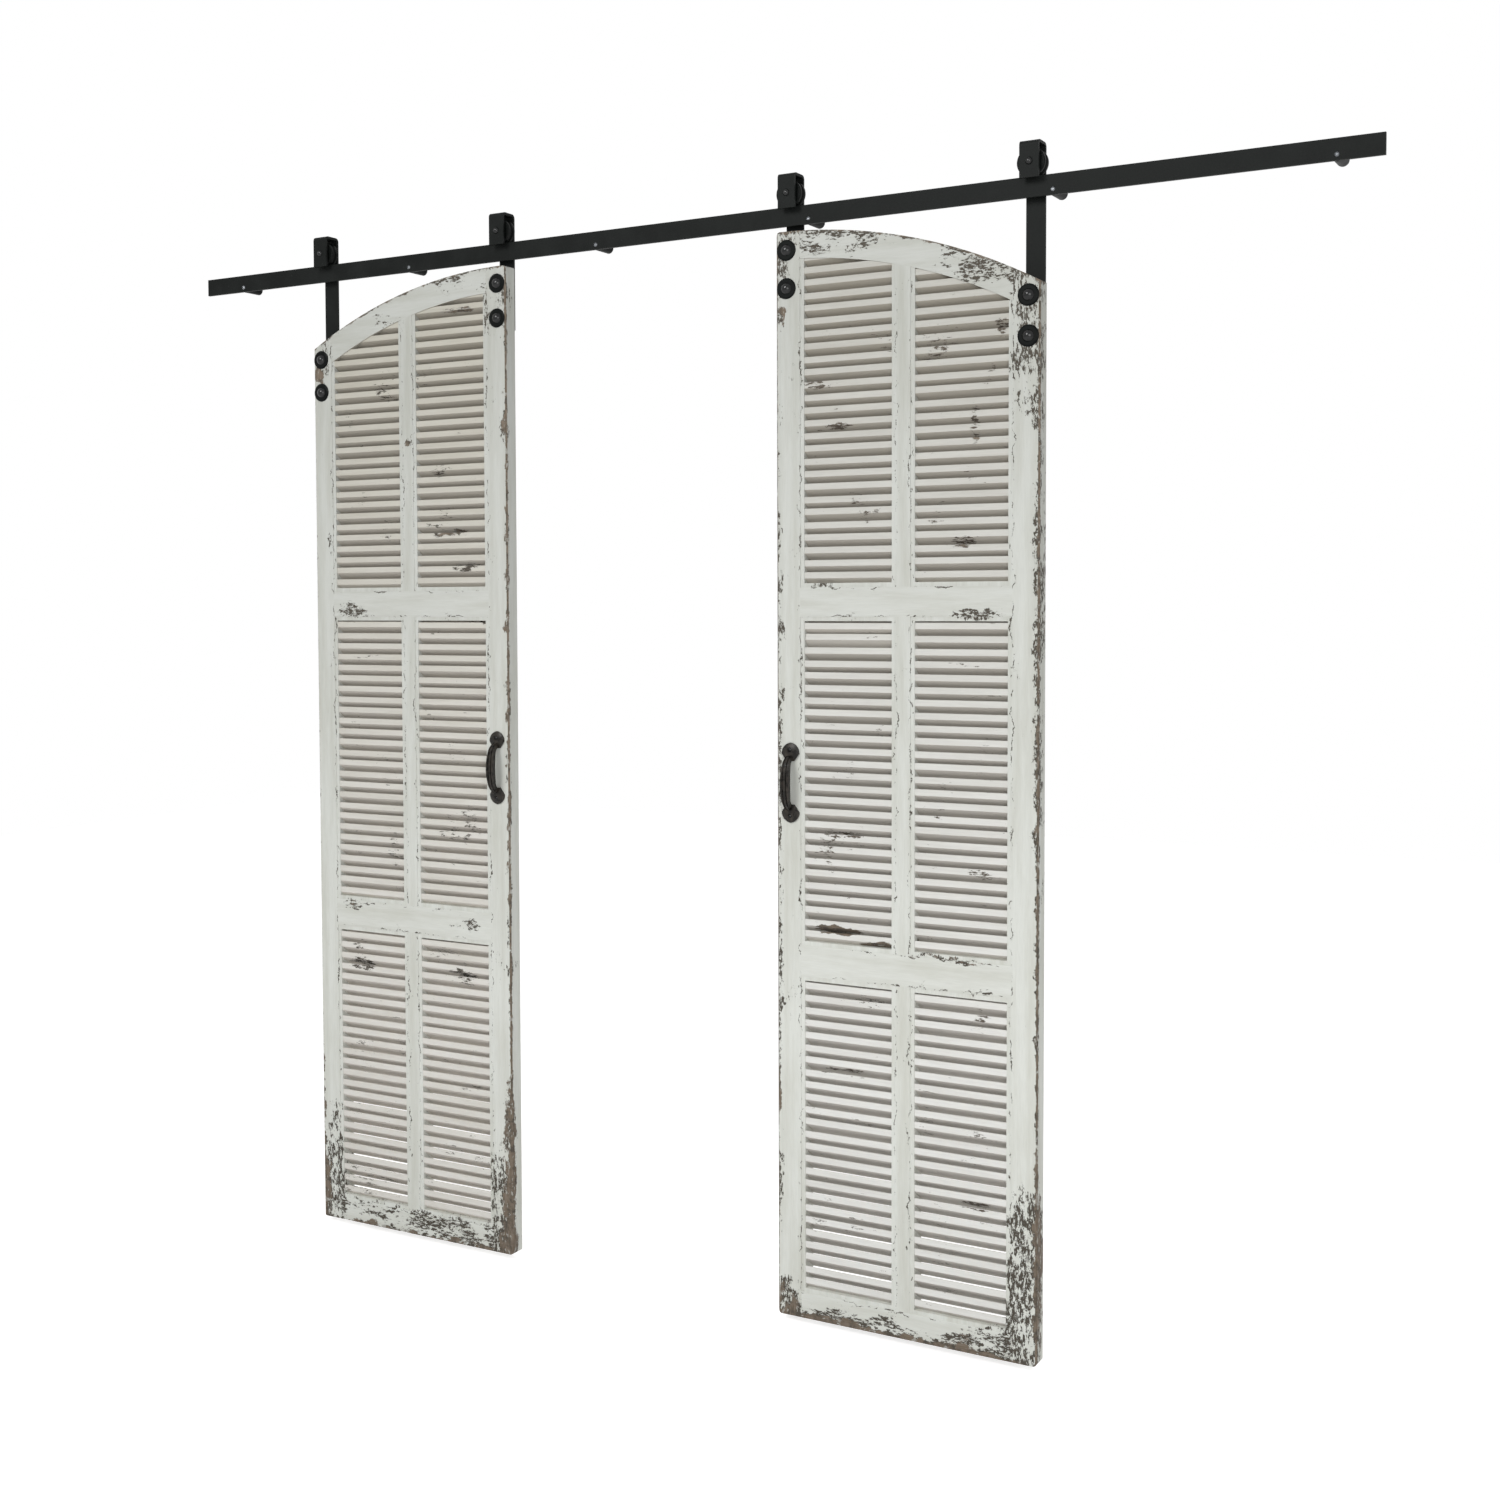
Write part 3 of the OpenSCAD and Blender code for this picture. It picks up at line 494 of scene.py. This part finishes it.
@dataclass(frozen=True)
class CoatedMetal:
    """Metal under a coat or bare: one tone with fine grain, soft clouding and rubbed high spots.

    Sizes are in millimetres.
    """

    name: str
    tone: str
    tone_rubbed: str
    roughness: float
    roughness_spread: float
    metallic: float
    grain_size: float
    grain_depth: float
    cloud_size: float = 40.0
    specular: float = 0.5
    relief: float = 0.5

    # Fineness of the two noises, and where clouds count as rubbed and as dull
    CLOUD_NOISE = {"Detail": 6.0}
    GRAIN_NOISE = {"Detail": 3.0}
    RUBBED = {"From Min": 0.42, "From Max": 0.72}
    DULLED = {"From Min": 0.3, "From Max": 0.7}

    def make(self) -> Material:
        """Build the material.

        Returns:
            The finished metal.
        """
        material, tree = new_tree(self.name)
        where = add(tree, "TexCoord", out="Object")
        place = add(tree, "VectorMath", {0: where, "Scale": MM}, operation="SCALE")
        clouds = {"Vector": place, "Scale": 1 / self.cloud_size, **self.CLOUD_NOISE}
        cloud = add(tree, "TexNoise", clouds)
        grains = {"Vector": place, "Scale": 1 / self.grain_size, **self.GRAIN_NOISE}
        grain = add(tree, "TexNoise", grains)
        rubbed = add(tree, "MapRange", {"Value": cloud, **self.RUBBED})
        tones = {SHARE: rubbed, BELOW: linear(self.tone), ABOVE: linear(self.tone_rubbed)}
        colour = add(tree, "Mix", tones, **BLEND)
        smooth = self.roughness - self.roughness_spread
        rough = self.roughness + self.roughness_spread
        dull = add(tree, "MapRange", {"Value": cloud, **self.DULLED, "To Min": smooth, "To Max": rough})
        skin = {"Strength": self.relief, "Distance": self.grain_depth / MM, "Height": grain}
        bump = add(tree, "Bump", skin)
        shader = {"Base Color": colour, "Metallic": self.metallic, "Roughness": dull, "Normal": bump}
        shader["Specular IOR Level"] = self.specular
        surface = add(tree, "BsdfPrincipled", shader)
        add(tree, "OutputMaterial", {"Surface": surface})
        return material


class Coat(Enum):
    """Finishes of the metal pieces."""

    # Satin black that stays dark and even, with soft grey sheens along the edges
    POWDER_BLACK = CoatedMetal(
        name="steel_black_powder_coat",
        tone="161817",
        tone_rubbed="1d1f1e",
        roughness=0.5,
        roughness_spread=0.06,
        metallic=0.0,
        grain_size=0.9,
        grain_depth=0.05,
        specular=0.07,
    )
    # Nearly black and glossy, so that each dome shows one small bright highlight
    GLOSS_BLACK = CoatedMetal(
        name="bolt_gloss_black_enamel",
        tone="040505",
        tone_rubbed="070808",
        roughness=0.16,
        roughness_spread=0.03,
        metallic=0.0,
        grain_size=2.5,
        grain_depth=0.03,
        specular=0.36,
    )
    # Black like the straps, a little darker and smoother where the lathe turned it
    TURNED_BLACK = CoatedMetal(
        name="turned_steel_black_enamel",
        tone="0c0e0d",
        tone_rubbed="131514",
        roughness=0.42,
        roughness_spread=0.06,
        metallic=0.0,
        grain_size=1.2,
        grain_depth=0.05,
        specular=0.06,
    )
    # Brown-black with a grainy cast skin, greyer where hands have rubbed it
    CAST_IRON = CoatedMetal(
        name="handle_sand_cast_iron",
        tone="171512",
        tone_rubbed="3a352f",
        roughness=0.3,
        roughness_spread=0.08,
        metallic=0.0,
        grain_size=1.6,
        grain_depth=0.3,
        cloud_size=9.0,
        specular=0.2,
    )
    # Dull grey metal with a soft cloudy shine
    ZINC_STEEL = CoatedMetal(
        name="fastener_blackened_zinc_steel",
        tone="7c7f82",
        tone_rubbed="5f6265",
        roughness=0.34,
        roughness_spread=0.08,
        metallic=1.0,
        grain_size=0.8,
        grain_depth=0.04,
    )
    # Warm dull gold with a fine porous grain
    BRONZE = CoatedMetal(
        name="bush_sintered_bronze",
        tone="a9814e",
        tone_rubbed="8c6a40",
        roughness=0.42,
        roughness_spread=0.08,
        metallic=1.0,
        grain_size=0.7,
        grain_depth=0.05,
    )


def dress(names: list[str], material: Material) -> None:
    """Give nodes one material.

    Args:
        names: names of the nodes.
        material: what their slots get.
    """
    for name in names:
        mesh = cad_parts[name].data
        mesh.materials.clear()
        mesh.materials.append(material)


@dataclass(frozen=True)
class SlatFinish:
    """How the slats of one leaf differ from its boards: their colours, their painted light on faces that look
    down low on the leaf, and their painted shade near the top.
    """

    paint: str
    paint_aged: str
    flake_dark: str
    soil_low: str
    tint_high: Triple


@dataclass
class Leaf:
    """One louvred timber leaf with its hangers, wheels, bolts and pull handle."""

    side: Side
    frame_wear: tuple[WearPatch, ...]
    slat_wear: tuple[WearPatch, ...]
    slats: SlatFinish
    # Painted shade: the boards' brightness low down, a little lower on the left leaf, which gets less light
    tone: float

    UPRIGHTS = ("outer_stile", "inner_stile", "muntins", "beads")
    RAILS = ("top_rail", "upper_cross_rail", "lower_cross_rail", "bottom_rail")
    PANELS = ("upper", "middle", "lower")
    COLUMNS = ("near", "far")

    # A dirty joint between boards: half its width, and how much paint it has lost
    SEAM_REACH = 1.8
    SEAM_BARE = 0.1
    SEAM_SPECK = 0.9
    # The leaf's middle, and how far a joint runs from it
    MIDDLE_ACROSS = 250.0
    MIDDLE_UP = 1000.0
    SEAM_RUN_ACROSS = 420.0
    SEAM_RUN_UP = 1900.0

    def names(self, *parts: str) -> list[str]:
        """Give the full node names of some of the leaf's parts."""
        return [f"{self.side.label}_{part}" for part in parts]

    def corner(self) -> Triple:
        """Find the leaf's inner front bottom corner in the row frame.

        Returns:
            The corner in metres.
        """
        low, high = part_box(self.names("inner_stile")[0])
        inner = high.x if self.side is Side.LEFT else low.x
        return inner, low.y, low.z

    def seams_across(self) -> tuple[WearPatch, ...]:
        """Mark the dirty joints beside the stiles and the middle uprights.

        Returns:
            One upright line of wear for each joint.
        """
        inner = self.corner()[0]
        places = []
        for part in ("inner_stile", "muntins", "outer_stile"):
            low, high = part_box(self.names(part)[0])
            places += [abs(low.x - inner) * MM, abs(high.x - inner) * MM]
        joints = sorted(places)[1:-1]
        loss = (self.SEAM_BARE, self.SEAM_SPECK)
        return tuple(
            WearPatch(joint, self.MIDDLE_UP, self.SEAM_REACH, self.SEAM_RUN_UP, *loss) for joint in joints
        )

    def seams_up(self) -> tuple[WearPatch, ...]:
        """Mark the dirty joints above and below the straight rails.

        Returns:
            One level line of wear for each joint.
        """
        bottom = self.corner()[2]
        places = []
        for part in self.RAILS[1:]:
            low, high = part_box(self.names(part)[0])
            places += [(low.z - bottom) * MM, (high.z - bottom) * MM]
        joints = sorted(places)[1:]
        loss = (self.SEAM_BARE, self.SEAM_SPECK)
        return tuple(
            WearPatch(self.MIDDLE_ACROSS, joint, self.SEAM_RUN_ACROSS, self.SEAM_REACH, *loss)
            for joint in joints
        )

    def dress_timber(self) -> None:
        """Paint the frame boards along their grain, and the slats in a creamier tone."""
        corner = self.corner()
        label = self.side.label
        # Dull chalky white with faint upright strokes, flaked to brown wood at corners, edges and joints
        stiles = ChippedPaint(
            name=f"{label}_stile_brushed_chalk_paint",
            side=self.side,
            grain=Grain.UPRIGHT,
            origin=corner,
            patches=self.frame_wear + self.seams_across(),
            # Painted shade: the leaf's tone sets the boards' painted brightness low down, and they darken
            # towards the top
            tint_low=(self.tone, self.tone, self.tone),
        )
        # The same white, with its strokes and flakes lying across
        rails = ChippedPaint(
            name=f"{label}_rail_brushed_chalk_paint",
            side=self.side,
            grain=Grain.ACROSS,
            origin=corner,
            patches=self.frame_wear + self.seams_up(),
            tint_low=(self.tone, self.tone, self.tone),
        )
        # Creamier white with painted light low down and painted shade that deepens towards the top, with long
        # dark chips on single slats
        slats = ChippedPaint(
            name=f"{label}_louvre_brushed_chalk_paint",
            side=self.side,
            grain=Grain.ACROSS,
            origin=corner,
            patches=self.slat_wear,
            paint=self.slats.paint,
            paint_aged=self.slats.paint_aged,
            flake_dark=self.slats.flake_dark,
            soil_low=self.slats.soil_low,
            # Painted light: low down the slats are painted brighter than their paint
            tint_low=(1.07, 1.07, 1.07),
            tint_high=self.slats.tint_high,
            arris=0.0,
            stretch=0.8,
            stray=24.0,
            cluster=0.85,
        )
        dress(self.names(*self.UPRIGHTS), stiles.make())
        dress(self.names(*self.RAILS), rails.make())
        columns = [f"{panel}_{column}_louvres" for panel in self.PANELS for column in self.COLUMNS]
        dress(self.names(*columns), slats.make())
        LOG.info("%s leaf: boards and %d slat columns painted", label, len(columns))

    def dress_metal(self, coats: dict[Coat, Material]) -> None:
        """Finish the leaf's metal.

        Args:
            coats: one material for each metal finish.
        """
        dress(self.names("inner_hanger", "outer_hanger"), coats[Coat.POWDER_BLACK])
        dress(self.names("door_bolts", "axle_bolts", "handle_screws"), coats[Coat.GLOSS_BLACK])
        dress(self.names("door_nuts", "axle_nuts"), coats[Coat.ZINC_STEEL])
        dress(self.names("inner_wheel", "outer_wheel", "dished_washers"), coats[Coat.TURNED_BLACK])
        dress(self.names("inner_bush", "outer_bush"), coats[Coat.BRONZE])
        dress(self.names("handle"), coats[Coat.CAST_IRON])
        LOG.info("%s leaf: hangers, wheels, bolts and handle finished", self.side.label)


@dataclass
class Track:
    """The flat rail bar, its standoffs and the screws that hold them."""

    bar: str = "rail"
    spacers: str = "standoffs"
    screws: str = "rail_screws"

    def dress_metal(self, coats: dict[Coat, Material]) -> None:
        """Finish the rail and its fixings.

        Args:
            coats: one material for each metal finish.
        """
        dress([self.bar], coats[Coat.POWDER_BLACK])
        dress([self.spacers], coats[Coat.TURNED_BLACK])
        dress([self.screws], coats[Coat.ZINC_STEEL])
        LOG.info("track: rail, standoffs and screws finished")


@dataclass(frozen=True)
class Softbox:
    """A lamp with a soft square face: its place and side in metres, and its power in watts."""

    name: str
    place: Triple
    size: float
    power: float

    def hang(self, aim: Triple) -> None:
        """Hang the lamp.

        Args:
            aim: point that it shines at, in metres.
        """
        lamp = bpy.data.lights.new(self.name, "AREA")
        lamp.size = self.size
        lamp.energy = self.power
        holder = bpy.data.objects.new(self.name, lamp)
        holder.location = self.place
        holder.rotation_euler = (Vector(aim) - Vector(self.place)).to_track_quat("-Z", "Y").to_euler()
        bpy.context.collection.objects.link(holder)
        LOG.info("%s hung", self.name)


@dataclass(frozen=True)
class PhotoCamera:
    """The photograph's camera: place in metres, angles in degrees, lens in pixels of the photograph."""

    place: Triple = (1.7266, -3.1199, -0.6921)
    yaw: float = 30.898
    pitch: float = 2.434
    roll: float = -0.297
    focal: float = 1856.9
    centre: tuple[float, float] = (650.0, 680.0)
    photo_size: float = 1500.0
    sensor: float = 36.0

    def stand(self) -> None:
        """Stand the camera where the photograph was taken from."""
        yaw = math.radians(self.yaw)
        pitch = math.radians(self.pitch)
        roll = math.radians(self.roll)
        right = Vector((math.cos(yaw), math.sin(yaw), 0.0))
        level = math.cos(pitch)
        ahead = Vector((-math.sin(yaw) * level, math.cos(yaw) * level, -math.sin(pitch)))
        above = right.cross(ahead)
        across = right * math.cos(roll) + above * math.sin(roll)
        upward = above * math.cos(roll) - right * math.sin(roll)
        lens = bpy.data.cameras.new("photo_camera")
        lens.sensor_width = self.sensor
        lens.lens = self.focal / self.photo_size * self.sensor
        middle = self.photo_size / 2
        lens.shift_x = (middle - self.centre[0]) / self.photo_size
        lens.shift_y = (self.centre[1] - middle) / self.photo_size
        camera = bpy.data.objects.new("photo_camera", lens)
        turn = Matrix((across, upward, -ahead)).transposed()
        camera.matrix_world = Matrix.Translation(self.place) @ turn.to_4x4()
        bpy.context.collection.objects.link(camera)
        bpy.context.scene.camera = camera
        LOG.info("camera set")


@dataclass
class Studio:
    """A pale floor, a bright backdrop, soft lamps and the photograph's camera."""

    floor_clearance: float = 0.012
    floor_size: float = 14.0
    floor_tone: str = "dcdcdc"
    floor_roughness: float = 0.9
    floor_glow: float = 0.62
    ambient: float = 0.25
    backdrop_start: float = -0.1
    backdrop_full: float = 0.45
    aim: Triple = (0.0, 0.0, -1.0)
    lamps: tuple[Softbox, ...] = (
        Softbox("key_softbox", (-0.9, -4.2, 1.9), 1.8, 132.0),
        Softbox("fill_softbox", (2.6, -3.6, 0.0), 2.4, 73.0),
    )
    camera: PhotoCamera = PhotoCamera()

    def lay_floor(self) -> None:
        """Put a plain pale floor just below the leaves."""
        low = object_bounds()[0]
        mesh = bpy.data.meshes.new("studio_floor")
        half = self.floor_size / 2
        z = low[2] - self.floor_clearance
        corners = [(-half, -half, z), (half, -half, z), (half, half, z), (-half, half, z)]
        mesh.from_pydata(corners, [], [(0, 1, 2, 3)])
        floor = bpy.data.objects.new("studio_floor", mesh)
        bpy.context.collection.objects.link(floor)
        # White card that runs into the backdrop and keeps the leaves' soft shadow
        material, tree = new_tree("studio_floor_white_card")
        card = {"Base Color": linear(self.floor_tone), "Roughness": self.floor_roughness}
        surface = add(tree, "BsdfPrincipled", card)
        glow = add(tree, "Emission", {"Color": WHITE, "Strength": self.floor_glow})
        lifted = add(tree, "AddShader", {0: surface, 1: glow})
        seen = add(tree, "MixShader", {0: direct_view(tree), 1: surface, 2: lifted})
        add(tree, "OutputMaterial", {"Surface": seen})
        mesh.materials.append(material)
        floor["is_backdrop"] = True
        LOG.info("floor laid at %.3f m", z)

    def light_world(self) -> None:
        """Light the object more from the backdrop than from the room, and show white wherever it is seen."""
        world = bpy.data.worlds.new("studio_world")
        bpy.context.scene.world = world
        world.use_nodes = True
        tree = world.node_tree
        tree.nodes.clear()
        ahead = add(tree, "SeparateXYZ", {0: add(tree, "TexCoord", out="Generated")}, out="Y")
        room = {"Value": ahead, "From Min": self.backdrop_start, "From Max": self.backdrop_full}
        strength = add(tree, "MapRange", {**room, "To Min": self.ambient})
        strength = add(tree, "Math", {0: strength, 1: direct_view(tree)}, operation="MAXIMUM")
        sky = add(tree, "Background", {"Color": WHITE, "Strength": strength})
        add(tree, "OutputWorld", {"Surface": sky})
        LOG.info("backdrop lit")

    def build(self) -> None:
        """Set up the floor, the backdrop, the lamps and the camera."""
        self.lay_floor()
        self.light_world()
        for lamp in self.lamps:
            lamp.hang(self.aim)
        self.camera.stand()
        bpy.context.scene.view_settings.view_transform = "Standard"


# Creamy slats with brown-grey chips, with painted shade that is yellower and darker towards the top and
# painted light on their undersides low down
LEFT_SLATS = SlatFinish(
    paint="d2d0ca", paint_aged="c6c3bb", flake_dark="48433b", soil_low="e8e2db", tint_high=(0.72, 0.71, 0.66)
)
# Whiter slats with paler brown chips, with painted shade towards the top, on their undersides too
RIGHT_SLATS = SlatFinish(
    paint="d8d8d4", paint_aged="cdccc7", flake_dark="564e45", soil_low="d6d1cb", tint_high=(0.66, 0.65, 0.62)
)
# The worn places, each given as across, up, their reaches, bare and speck, and for some depth and its reach
LEFT_FRAME_WEAR = (
    WearPatch(0, 1000, 10, 1700, 0.9, 0.8, 0, 12),
    WearPatch(4, 230, 24, 170, 1.15, 0.6, 0, 26),
    WearPatch(4, 60, 40, 170, 1.25, 0.9, 0, 26),
    WearPatch(40, 90, 44, 200, 0.2, 1.0),
    WearPatch(250, -6, 460, 24, 1.1, 0.9),
    WearPatch(250, 32, 380, 38, 0.2, 1.0),
    WearPatch(502, 50, 34, 150, 1.5, 1.0),
    WearPatch(466, 110, 40, 190, 0.15, 1.1),
    WearPatch(502, 240, 14, 220, 1.1, 0.8),
    WearPatch(500, 1100, 6, 1000, 0.4, 0.7, 0, 12),
    WearPatch(486, 1812, 14, 26, 1.6, 0.8),
    WearPatch(470, 1850, 40, 60, 0.3, 0.9),
    WearPatch(130, 1975, 60, 34, 0.2, 0.95),
    WearPatch(305, 1915, 60, 30, 0.2, 0.85),
    WearPatch(30, 1930, 60, 90, 0.2, 0.85),
    WearPatch(400, 1316, 60, 24, 0.3, 0.85),
    WearPatch(405, 690, 46, 20, 0.5, 0.95),
    WearPatch(112, 666, 66, 28, 0.4, 0.95),
    WearPatch(250, 1660, 26, 9, 0.9, 0.8),
    WearPatch(8, 1690, 14, 60, 0.5, 0.8),
    WearPatch(462, 1440, 9, 60, 0.2, 0.9),
)
RIGHT_FRAME_WEAR = (
    WearPatch(5, 1970, 40, 50, 0.5, 1.1),
    WearPatch(6, 1915, 34, 60, 0.35, 1.1),
    WearPatch(120, 1975, 150, 50, 0.15, 0.95),
    WearPatch(388, 1912, 130, 70, 0.1, 0.95),
    WearPatch(470, 1850, 50, 60, 0.2, 1.0),
    WearPatch(478, 1735, 54, 120, 0.1, 1.0),
    WearPatch(497, 1250, 14, 800, 0.2, 0.9),
    WearPatch(501, 800, 8, 1300, 0.9, 1.2, 0, 10),
    WearPatch(474, 220, 46, 150, 0.2, 1.2),
    WearPatch(465, 90, 46, 120, 0.35, 1.2),
    WearPatch(503, 160, 14, 260, 1.25, 0.9),
    WearPatch(200, -4, 480, 22, 1.5, 0.8),
    WearPatch(250, 14, 400, 24, 0.25, 0.9),
    WearPatch(420, 24, 100, 40, 0.3, 1.2),
    WearPatch(14, 24, 46, 80, 0.85, 1.2),
    WearPatch(4, 240, 12, 90, 0.6, 1.0),
    WearPatch(4, 420, 9, 60, 1.1, 0.7),
    WearPatch(2, 1000, 14, 1100, 0.4, 1.1),
    WearPatch(12, 1842, 12, 34, 1.1, 1.0),
    WearPatch(382, 1304, 66, 16, 0.4, 1.1),
    WearPatch(90, 1356, 46, 9, 0.4, 1.0),
    WearPatch(330, 698, 120, 7, 0.8, 0.9),
    WearPatch(400, 640, 46, 10, 0.5, 0.9),
)
LEFT_SLAT_WEAR = (
    WearPatch(138, 1470, 60, 11, 1.25, 0.7),
    WearPatch(110, 1400, 60, 14, 0.5, 0.95),
    WearPatch(170, 1600, 44, 22, 0.5, 0.85),
    WearPatch(80, 1290, 60, 14, 0.4, 0.9),
    WearPatch(120, 1920, 70, 14, 0.9, 0.6),
    WearPatch(110, 330, 50, 9, 0.6, 0.9),
    WearPatch(400, 560, 70, 20, 0.4, 0.9),
    WearPatch(130, 560, 60, 26, 0.3, 0.95),
    WearPatch(300, 800, 30, 60, 0.4, 0.85),
    WearPatch(150, 850, 60, 22, 0.4, 0.85),
    WearPatch(400, 90, 90, 60, 0.5, 0.6),
)
RIGHT_SLAT_WEAR = (
    WearPatch(84, 1716, 40, 18, 0.5, 1.0),
    WearPatch(110, 1640, 60, 9, 0.5, 1.0),
    WearPatch(381, 1625, 14, 60, 0.75, 0.9),
    WearPatch(362, 1430, 50, 16, 0.4, 1.0),
    WearPatch(432, 1800, 20, 40, 0.4, 1.0),
    WearPatch(120, 728, 70, 14, 1.6, 0.8),
    WearPatch(200, 706, 60, 12, 1.5, 0.8),
    WearPatch(140, 905, 50, 9, 0.4, 0.95),
    WearPatch(390, 850, 36, 14, 0.4, 0.95),
    WearPatch(390, 262, 60, 12, 0.5, 1.05),
    WearPatch(130, 470, 70, 10, 0.4, 0.9),
    WearPatch(400, 1160, 50, 9, 0.4, 0.9),
)


def main() -> None:
    """Dress the door's pieces in order and set the studio around them."""
    logging.basicConfig(level=logging.INFO, format="%(name)s: %(message)s")
    coats = {coat: coat.value.make() for coat in Coat}
    Track().dress_metal(coats)
    leaves = (
        # The left leaf's lower tone is painted shade for the weaker light on it
        Leaf(Side.LEFT, LEFT_FRAME_WEAR, LEFT_SLAT_WEAR, LEFT_SLATS, tone=0.98),
        Leaf(Side.RIGHT, RIGHT_FRAME_WEAR, RIGHT_SLAT_WEAR, RIGHT_SLATS, tone=1.0),
    )
    for leaf in leaves:
        leaf.dress_timber()
        leaf.dress_metal(coats)
    Studio().build()


if __name__ == "__main__":
    main()
